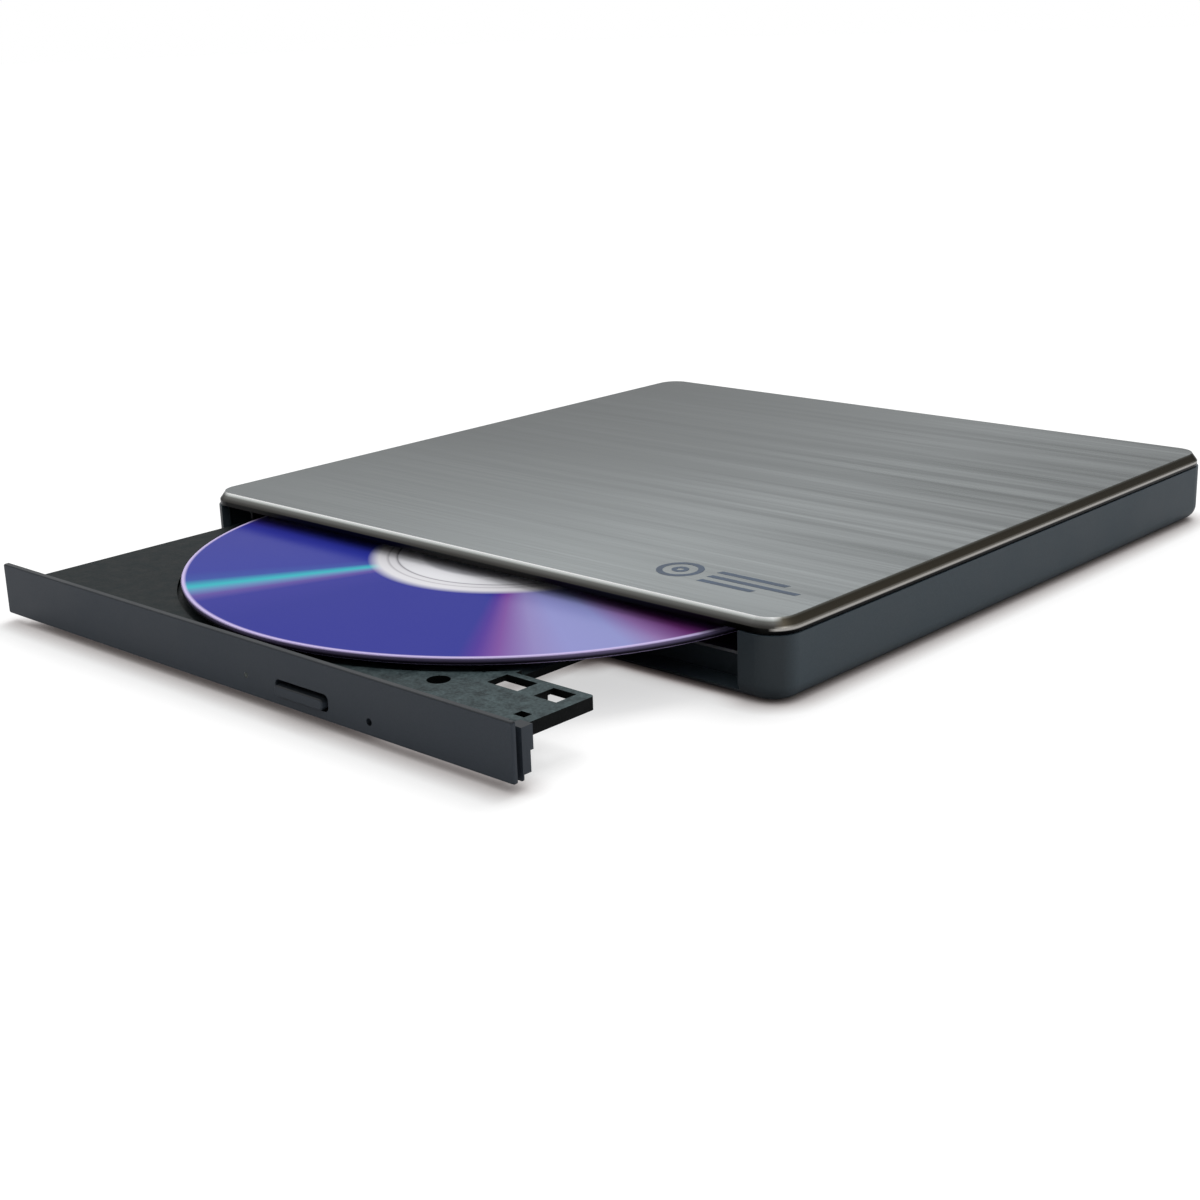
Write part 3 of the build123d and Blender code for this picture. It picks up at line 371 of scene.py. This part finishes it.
def turned_metal(name, colour, roughness, grain=0.4 * MM):
    """Machined or drawn steel: fine marks and small changes of gloss."""
    made = Shader(name, colour, roughness, metallic=1.0)
    marks = made.noise(made.place(), 1 / grain, detail=4.0, roughness=0.6)
    made.feed(made.ramp(marks, [(0.3, shade(colour, 0.8)), (0.7, shade(colour, 1.12))]), "Base Color")
    made.feed(made.span(marks, 0.3, 0.7, roughness - 0.05, roughness + 0.08), "Roughness")
    made.bump(marks, 0.1, 0.005 * MM)
    return made


def circuit_board():
    """Green board: solder resist over copper tracks and a fine woven base."""
    made = Shader("circuit_board", srgb(24, 74, 46), 0.35, Coat_Weight=0.3)
    spot = made.place()
    tracks = made.node("TexBrick")
    tracks.offset = 0.37
    tracks.inputs["Scale"].default_value = 420.0
    tracks.inputs["Color1"].default_value = srgb(22, 70, 44)
    tracks.inputs["Color2"].default_value = srgb(28, 84, 52)
    tracks.inputs["Mortar"].default_value = srgb(52, 112, 66)
    tracks.inputs["Mortar Size"].default_value = 0.06
    made.link(spot, tracks.inputs["Vector"])
    weave = made.noise(spot, 2500.0, detail=2.0)
    woven = made.span(weave, 0.3, 0.7, 0.0, 0.25)
    made.feed(made.mix(woven, tracks.outputs["Color"], srgb(16, 52, 34)), "Base Color")
    made.bump(tracks.outputs["Fac"], 0.3, 0.02 * MM)
    return made


def paper_label():
    """Silver foil label with a printed frame line, left without any wording."""
    made = Shader("paper_label", srgb(176, 178, 180), 0.45, metallic=0.3)
    grain = made.noise(made.place(scale=(1, 1.6, 1)), 900.0, detail=3.0)
    made.feed(made.ramp(grain, [(0.3, srgb(168, 170, 172)), (0.7, srgb(188, 190, 192))]), "Base Color")
    made.bump(grain, 0.15, 0.01 * MM)
    return made


def clear_plastic(name, colour, roughness):
    """Clear or tinted optical plastic with faint flow lines."""
    made = Shader(name, colour, roughness, Transmission_Weight=0.9, IOR=1.5)
    flow = made.noise(made.place(scale=(1, 1, 3)), 500.0, detail=2.0)
    made.feed(made.ramp(flow, [(0.2, shade(colour, 0.9)), (0.8, colour)]), "Base Color")
    made.feed(made.span(flow, 0.3, 0.7, roughness, roughness + 0.05), "Roughness")
    return made


MATERIALS = {
    "top_metal": brushed_plate(),
    "case_plastic": case_plastic("case_plastic"),
    "bezel_plastic": bezel_plastic("bezel_plastic"),
    "tray_plastic": tray_plastic(),
    "frame_plastic": moulded("frame_plastic", srgb(30, 32, 34), 0.5, 0.3 * MM, 9 * MM),
    "rubber": moulded("rubber", srgb(24, 24, 25), 0.85, 0.3 * MM, 5 * MM, 0.04 * MM),
    "sheet_steel": sheet_metal("sheet_steel", srgb(172, 174, 176), 0.34),
    "screw_steel": turned_metal("screw_steel", srgb(120, 122, 126), 0.32),
    "steel_rod": turned_metal("steel_rod", srgb(196, 198, 202), 0.18),
    "board": circuit_board(),
    "chip": moulded("chip", srgb(28, 28, 30), 0.55, 0.1 * MM, 3 * MM, 0.01 * MM),
    "white_plastic": moulded("white_plastic", srgb(222, 218, 206), 0.5, 0.3 * MM, 6 * MM, contrast=0.06),
    "label": paper_label(),
    "flex": moulded("flex", srgb(150, 92, 30), 0.35, 0.6 * MM, 5 * MM, 0.01 * MM, Coat_Weight=0.4),
    "rail_plastic": moulded("rail_plastic", srgb(20, 22, 23), 0.42, 0.3 * MM, 9 * MM),
    "disc": violet_disc(),
    "light_pipe": clear_plastic("light_pipe", srgb(150, 170, 160), 0.2),
    "cast_frame": turned_metal("cast_frame", srgb(110, 112, 116), 0.45, 0.8 * MM),
    "lens": clear_plastic("lens", srgb(220, 225, 240), 0.03),
    "copper_yellow": turned_metal("copper_yellow", srgb(196, 150, 70), 0.3),
    "spring_steel": turned_metal("spring_steel", srgb(180, 182, 188), 0.22),
}


def paint(piece, material):
    """Gives a piece one material in every slot."""
    mesh = piece.data
    if not mesh.materials:
        mesh.materials.append(material)
    for index in range(len(mesh.materials)):
        mesh.materials[index] = material
    for holder in piece.material_slots:
        holder.material = material


for part in frame["record"]["subparts"]:
    if part["node"] in NODES:
        paint(NODES[part["node"]], MATERIALS[part["material_slot"]].material)


# ---------------------------------------------------------------- pieces that the CAD model leaves plain
INK = moulded("printed_ink", srgb(60, 72, 88), 0.5, 0.2 * MM, 4 * MM, 0.01 * MM, Specular_IOR_Level=0.3)


def build(name, mesh_maker, body, slot, replaced=(), shader=None):
    """Makes a piece with a mesh function, and gives it a material, its slot's if no other, and a body."""
    shape = bmesh.new()
    mesh_maker(shape)
    bmesh.ops.recalc_face_normals(shape, faces=shape.faces)
    mesh = bpy.data.meshes.new(name)
    shape.to_mesh(mesh)
    shape.free()
    piece = bpy.data.objects.new(name, mesh)
    SCENE.collection.objects.link(piece)
    paint(piece, (shader or MATERIALS[slot]).material)
    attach(piece, body)
    for node in replaced:
        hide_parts(node)
    return piece


def smooth(piece, angle=40):
    """Smooth shading, except at edges sharper than an angle in degrees."""
    for face in piece.data.polygons:
        face.use_smooth = True
    piece.data.set_sharp_from_angle(angle=math.radians(angle))


def join_loops(shape, loop, following):
    """A band of faces between two closed loops of as many vertices."""
    for step in range(len(loop)):
        after = (step + 1) % len(loop)
        shape.faces.new((loop[step], loop[after], following[after], following[step]))


def add_prism(shape, outline, low, high):
    """A closed prism from an outline of (x, y) points between two heights."""
    under = [shape.verts.new((x, y, low)) for x, y in outline]
    over = [shape.verts.new((x, y, high)) for x, y in outline]
    shape.faces.new(under[::-1])
    shape.faces.new(over)
    join_loops(shape, under, over)


def add_ring(shape, centre, inner, outer, low, high, sides=64):
    """A flat ring round a centre, between two heights."""
    loops = []
    for radius, height in ((outer, low), (outer, high), (inner, high), (inner, low)):
        loop = []
        for step in range(sides):
            angle = math.tau * step / sides
            place = (centre[0] + radius * math.cos(angle), centre[1] + radius * math.sin(angle), height)
            loop.append(shape.verts.new(place))
        loops.append(loop)
    for index, loop in enumerate(loops):
        join_loops(shape, loop, loops[(index + 1) % len(loops)])


def add_tube(shape, places, radius, sides):
    """A round wire with closed ends through a list of places, which never runs straight up."""
    loops = []
    for index, place in enumerate(places):
        ahead = places[min(index + 1, len(places) - 1)] - places[max(index - 1, 0)]
        side = ahead.cross(Vector((0.0, 0.0, 1.0))).normalized()
        up = side.cross(ahead).normalized()
        loop = []
        for step in range(sides):
            angle = math.tau * step / sides
            loop.append(shape.verts.new(place + (side * math.cos(angle) + up * math.sin(angle)) * radius))
        loops.append(loop)
    for loop, following in zip(loops, loops[1:]):
        join_loops(shape, loop, following)
    shape.faces.new(loops[0][::-1])
    shape.faces.new(loops[-1])


def bar(left, right, low, high):
    """The outline of a slanted printed bar."""
    slant = 0.35 * (high - low)
    return [(left, low), (right, low), (right + slant, high), (left + slant, high)]


def plate_mark(shape):
    """A plain printed mark near the plate's front right corner: a ring with three short bars."""
    ink = (PLATE_HIGH.z, PLATE_HIGH.z + 0.02 * MM)
    middle = (PLATE_HIGH.x - 31 * MM, PLATE_LOW.y + 13.5 * MM)
    add_ring(shape, middle, 3.0 * MM, 4.1 * MM, *ink)
    add_ring(shape, middle, 0.6 * MM, 1.5 * MM, *ink)
    left = middle[0] + 6.2 * MM
    pitch = 2.7 * MM
    thick = 1.2 * MM
    for row, length in enumerate((14.0, 18.0, 11.0)):
        low = middle[1] + 2.0 * MM - pitch * row
        add_prism(shape, bar(left, left + length * MM, low, low + thick), *ink)


def label_print(shape):
    """A thin frame line and two plain bars printed on the label under the case."""
    low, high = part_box("rating_label")
    ink = (low.z - 0.01 * MM, low.z)
    line = 0.3 * MM
    inset = 2.0 * MM
    left, right, near, far = low.x + inset, high.x - inset, low.y + inset, high.y - inset
    for first, second, below, above in (
            (left, right, near, near + line), (left, right, far - line, far),
            (left, left + line, near + line, far - line), (right - line, right, near + line, far - line),
            (left + 4 * MM, left + 24 * MM, near + 5 * MM, near + 6.2 * MM),
            (left + 4 * MM, left + 18 * MM, near + 8 * MM, near + 9.2 * MM)):
        add_prism(shape, [(first, below), (second, below), (second, above), (first, above)], *ink)


def ejector_coil(shape):
    """The pressed coil spring round the ejector, as one helix with closed end turns."""
    low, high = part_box("ejector_spring")
    wire = 0.18 * MM
    middle = (low + high) / 2
    radius = (high.x - low.x) / 2 - 1.6 * wire
    turns = 10
    steps = 28
    flatness = 0.25
    places = []
    for step in range(turns * steps + 1):
        share = step / (turns * steps)
        # the end turns lie flat, so the pitch grows in from both ends
        eased = share - math.sin(math.tau * share) / math.tau * flatness
        angle = math.tau * step / steps
        along = low.y + wire + (high.y - low.y - 2 * wire) * eased
        across = middle.x + radius * math.cos(angle)
        height = middle.z + radius * math.sin(angle)
        places.append(Vector((across, along, height)))
    add_tube(shape, places, wire, sides=8)


def board_parts(node, rows, columns, size, gap, inset):
    """A mesh function for rows of small chip resistors and capacitors on a board, each with two end caps."""
    low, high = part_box(node)
    length, width, tallest = size
    cap = 0.22 * length
    lower = 0.7 * tallest
    waist = 0.92    # the height between the caps, as a share of theirs

    def make(shape):
        for row in range(rows):
            for column in range(columns):
                # one place in five stays empty, and every other part is lower
                if (row * 3 + column * 2) % 5 == 4:
                    continue
                left = low.x + inset[0] + column * (length + gap)
                right = left + length
                near = low.y + inset[1] + row * (width + gap)
                far = near + width
                tall = tallest if (row + column) % 2 else lower
                for first, second, height in ((left, left + cap, tall),
                                              (left + cap, right - cap, tall * waist),
                                              (right - cap, right, tall)):
                    outline = [(first, near), (second, near), (second, far), (first, far)]
                    add_prism(shape, outline, high.z, high.z + height)
    return make


BRIDGE_PARTS = board_parts("usb_bridge_board", 3, 8, (1.0 * MM, 0.55 * MM, 0.45 * MM), 0.7 * MM,
                           inset=(4 * MM, 2.6 * MM))
DRIVE_PARTS = board_parts("drive_board", 4, 8, (1.2 * MM, 0.7 * MM, 0.5 * MM), 0.8 * MM,
                          inset=(3 * MM, 2 * MM))

build("plate_mark", plate_mark, "enclosure", "chip", shader=INK)
build("label_print", label_print, "enclosure", "chip", shader=INK)
smooth(build("ejector_coil", ejector_coil, "tray_body", "spring_steel", ["ejector_spring"]))
build("bridge_board_parts", BRIDGE_PARTS, "enclosure", "white_plastic")
build("drive_board_parts", DRIVE_PARTS, "enclosure", "white_plastic")


# ---------------------------------------------------------------- stage: floor, light and camera
def add_floor():
    """A wide pale floor under the feet. It looks bright to the camera, with light shadows, and throws
    little light back up on the sides of the object."""
    reach = 6.0
    mesh = bpy.data.meshes.new("floor")
    places = [(x * reach, y * reach, FLOOR_Z) for x, y in ((-1, -1), (1, -1), (1, 1), (-1, 1))]
    mesh.from_pydata(places, [], [(0, 1, 2, 3)])
    floor = bpy.data.objects.new("floor", mesh)
    SCENE.collection.objects.link(floor)
    made = Shader("floor_white", (0.92, 0.92, 0.92, 1.0), 0.5)
    grain = made.noise(made.place(), 60.0)
    made.feed(made.span(grain, 0.3, 0.7, 0.45, 0.55), "Roughness")
    made.set("Specular IOR Level", 0.2)
    # what the camera sees: mostly a white glow, with a painted contact shadow within a few millimetres of the
    # object
    contact = 5 * MM
    glow_share = 0.62
    glow = made.node("Emission")
    near = made.node("AmbientOcclusion", samples=8)
    near.inputs["Distance"].default_value = contact
    glow_with_painted_shadow = made.ramp(near.outputs["AO"], [
        (0.0, (0.0, 0.0, 0.0, 1.0)), (0.3, (0.1, 0.08, 0.075, 1.0)), (0.65, (0.55, 0.51, 0.5, 1.0)),
        (1.0, (1.0, 1.0, 1.0, 1.0)),
    ])
    made.link(glow_with_painted_shadow, glow.inputs["Color"])
    seen = made.node("MixShader")
    seen.inputs[0].default_value = glow_share
    made.link(made.principled.outputs[0], seen.inputs[1])
    made.link(glow.outputs[0], seen.inputs[2])
    # what the object gets back from the floor
    dim = made.node("BsdfDiffuse")
    dim.inputs["Color"].default_value = (0.42, 0.42, 0.43, 1.0)
    choice = made.node("MixShader")
    made.link(made.node("LightPath").outputs["Is Camera Ray"], choice.inputs[0])
    made.link(dim.outputs[0], choice.inputs[1])
    made.link(seen.outputs[0], choice.inputs[2])
    made.link(choice.outputs[0], made.tree.nodes["Material Output"].inputs["Surface"])
    mesh.materials.append(made.material)


def add_world():
    """Studio surround: dim near the horizon and towards the front, bright overhead, with a darker flag
    behind the right of the object. The camera itself sees plain white where the floor ends."""
    world = bpy.data.worlds.new("studio")
    SCENE.world = world
    world.use_nodes = True
    tree = world.node_tree

    def greys(value, stops):
        """Grey levels through (place, level) stops."""
        made = tree.nodes.new("ShaderNodeValToRGB")
        set_stops(made.color_ramp, [(place, (level, level, level, 1.0)) for place, level in stops])
        tree.links.new(value, made.inputs["Fac"])
        return made.outputs["Color"]

    direction = tree.nodes.new("ShaderNodeTexCoord").outputs["Generated"]

    def towards(way):
        """How far a direction points along a way, from -1 to 1."""
        product = tree.nodes.new("ShaderNodeVectorMath")
        product.operation = "DOT_PRODUCT"
        product.inputs[1].default_value = way
        tree.links.new(direction, product.inputs[0])
        return product.outputs["Value"]

    upward = towards((0.0, 0.0, 1.0))
    gradient = greys(upward, [(0.0, 0.2), (0.2, 0.235), (0.27, 0.4), (0.42, 0.9), (1.0, 1.0)])
    behind_right = towards(Vector((0.45, 0.75, 0.48)).normalized())
    flag = greys(behind_right, [(0.0, 1.0), (0.62, 1.0), (0.88, 0.36), (1.0, 0.3)])
    front = greys(towards((0.0, -1.0, 0.0)), [(0.0, 1.0), (0.35, 0.9), (0.7, 0.5), (1.0, 0.3)])
    light = gradient
    for shadow in (flag, front):
        product = tree.nodes.new("ShaderNodeMix")
        product.data_type = "RGBA"
        product.blend_type = "MULTIPLY"
        factor, first, second = MIX_INPUTS
        product.inputs[factor].default_value = 1.0
        tree.links.new(light, product.inputs[first])
        tree.links.new(shadow, product.inputs[second])
        light = product.outputs[MIX_OUTPUT]
    lighting = tree.nodes["Background"]
    lighting.inputs["Strength"].default_value = 1.2
    tree.links.new(light, lighting.inputs["Color"])
    backdrop = tree.nodes.new("ShaderNodeBackground")
    backdrop.inputs["Color"].default_value = (1, 1, 1, 1)
    choice = tree.nodes.new("ShaderNodeMixShader")
    tree.links.new(tree.nodes.new("ShaderNodeLightPath").outputs["Is Camera Ray"], choice.inputs[0])
    tree.links.new(lighting.outputs[0], choice.inputs[1])
    tree.links.new(backdrop.outputs[0], choice.inputs[2])
    tree.links.new(choice.outputs[0], tree.nodes["World Output"].inputs["Surface"])


def add_sky(strength, tilt, spread):
    """A very soft overhead light from behind, that reaches the whole floor alike."""
    data = bpy.data.lights.new("overhead", "SUN")
    data.energy = strength
    data.angle = math.radians(spread)
    lamp = bpy.data.objects.new("overhead", data)
    SCENE.collection.objects.link(lamp)
    lamp.rotation_euler = [math.radians(turn) for turn in tilt]
    lamp.visible_glossy = False    # it lights the plastic without a glare on the metal plate


def add_camera():
    """A low three-quarter view from the front right, turned a little about its own line of sight."""
    azimuth = math.radians(43.09)
    elevation = math.radians(17.23)
    roll = math.radians(-1.875)
    distance = 0.3217
    target = Vector((26.95 * MM, -63.27 * MM, 7.0 * MM))
    outward = Vector((math.sin(azimuth) * math.cos(elevation), -math.cos(azimuth) * math.cos(elevation),
                      math.sin(elevation)))
    data = bpy.data.cameras.new("camera")
    data.sensor_width = 36.0
    data.lens = 56.475
    data.clip_start = 0.01
    data.clip_end = 50.0
    camera = bpy.data.objects.new("camera", data)
    SCENE.collection.objects.link(camera)
    turn = (-outward).to_track_quat("-Z", "Y").to_matrix().to_4x4()
    stand = Matrix.Translation(target + outward * distance)
    camera.matrix_world = stand @ turn @ Matrix.Rotation(roll, 4, "Z")
    SCENE.camera = camera


add_floor()
add_world()
add_sky(strength=2.5, tilt=(-34, -10, 0), spread=40)
add_camera()
SCENE.view_settings.view_transform = "Standard"
SCENE.view_settings.look = "None"
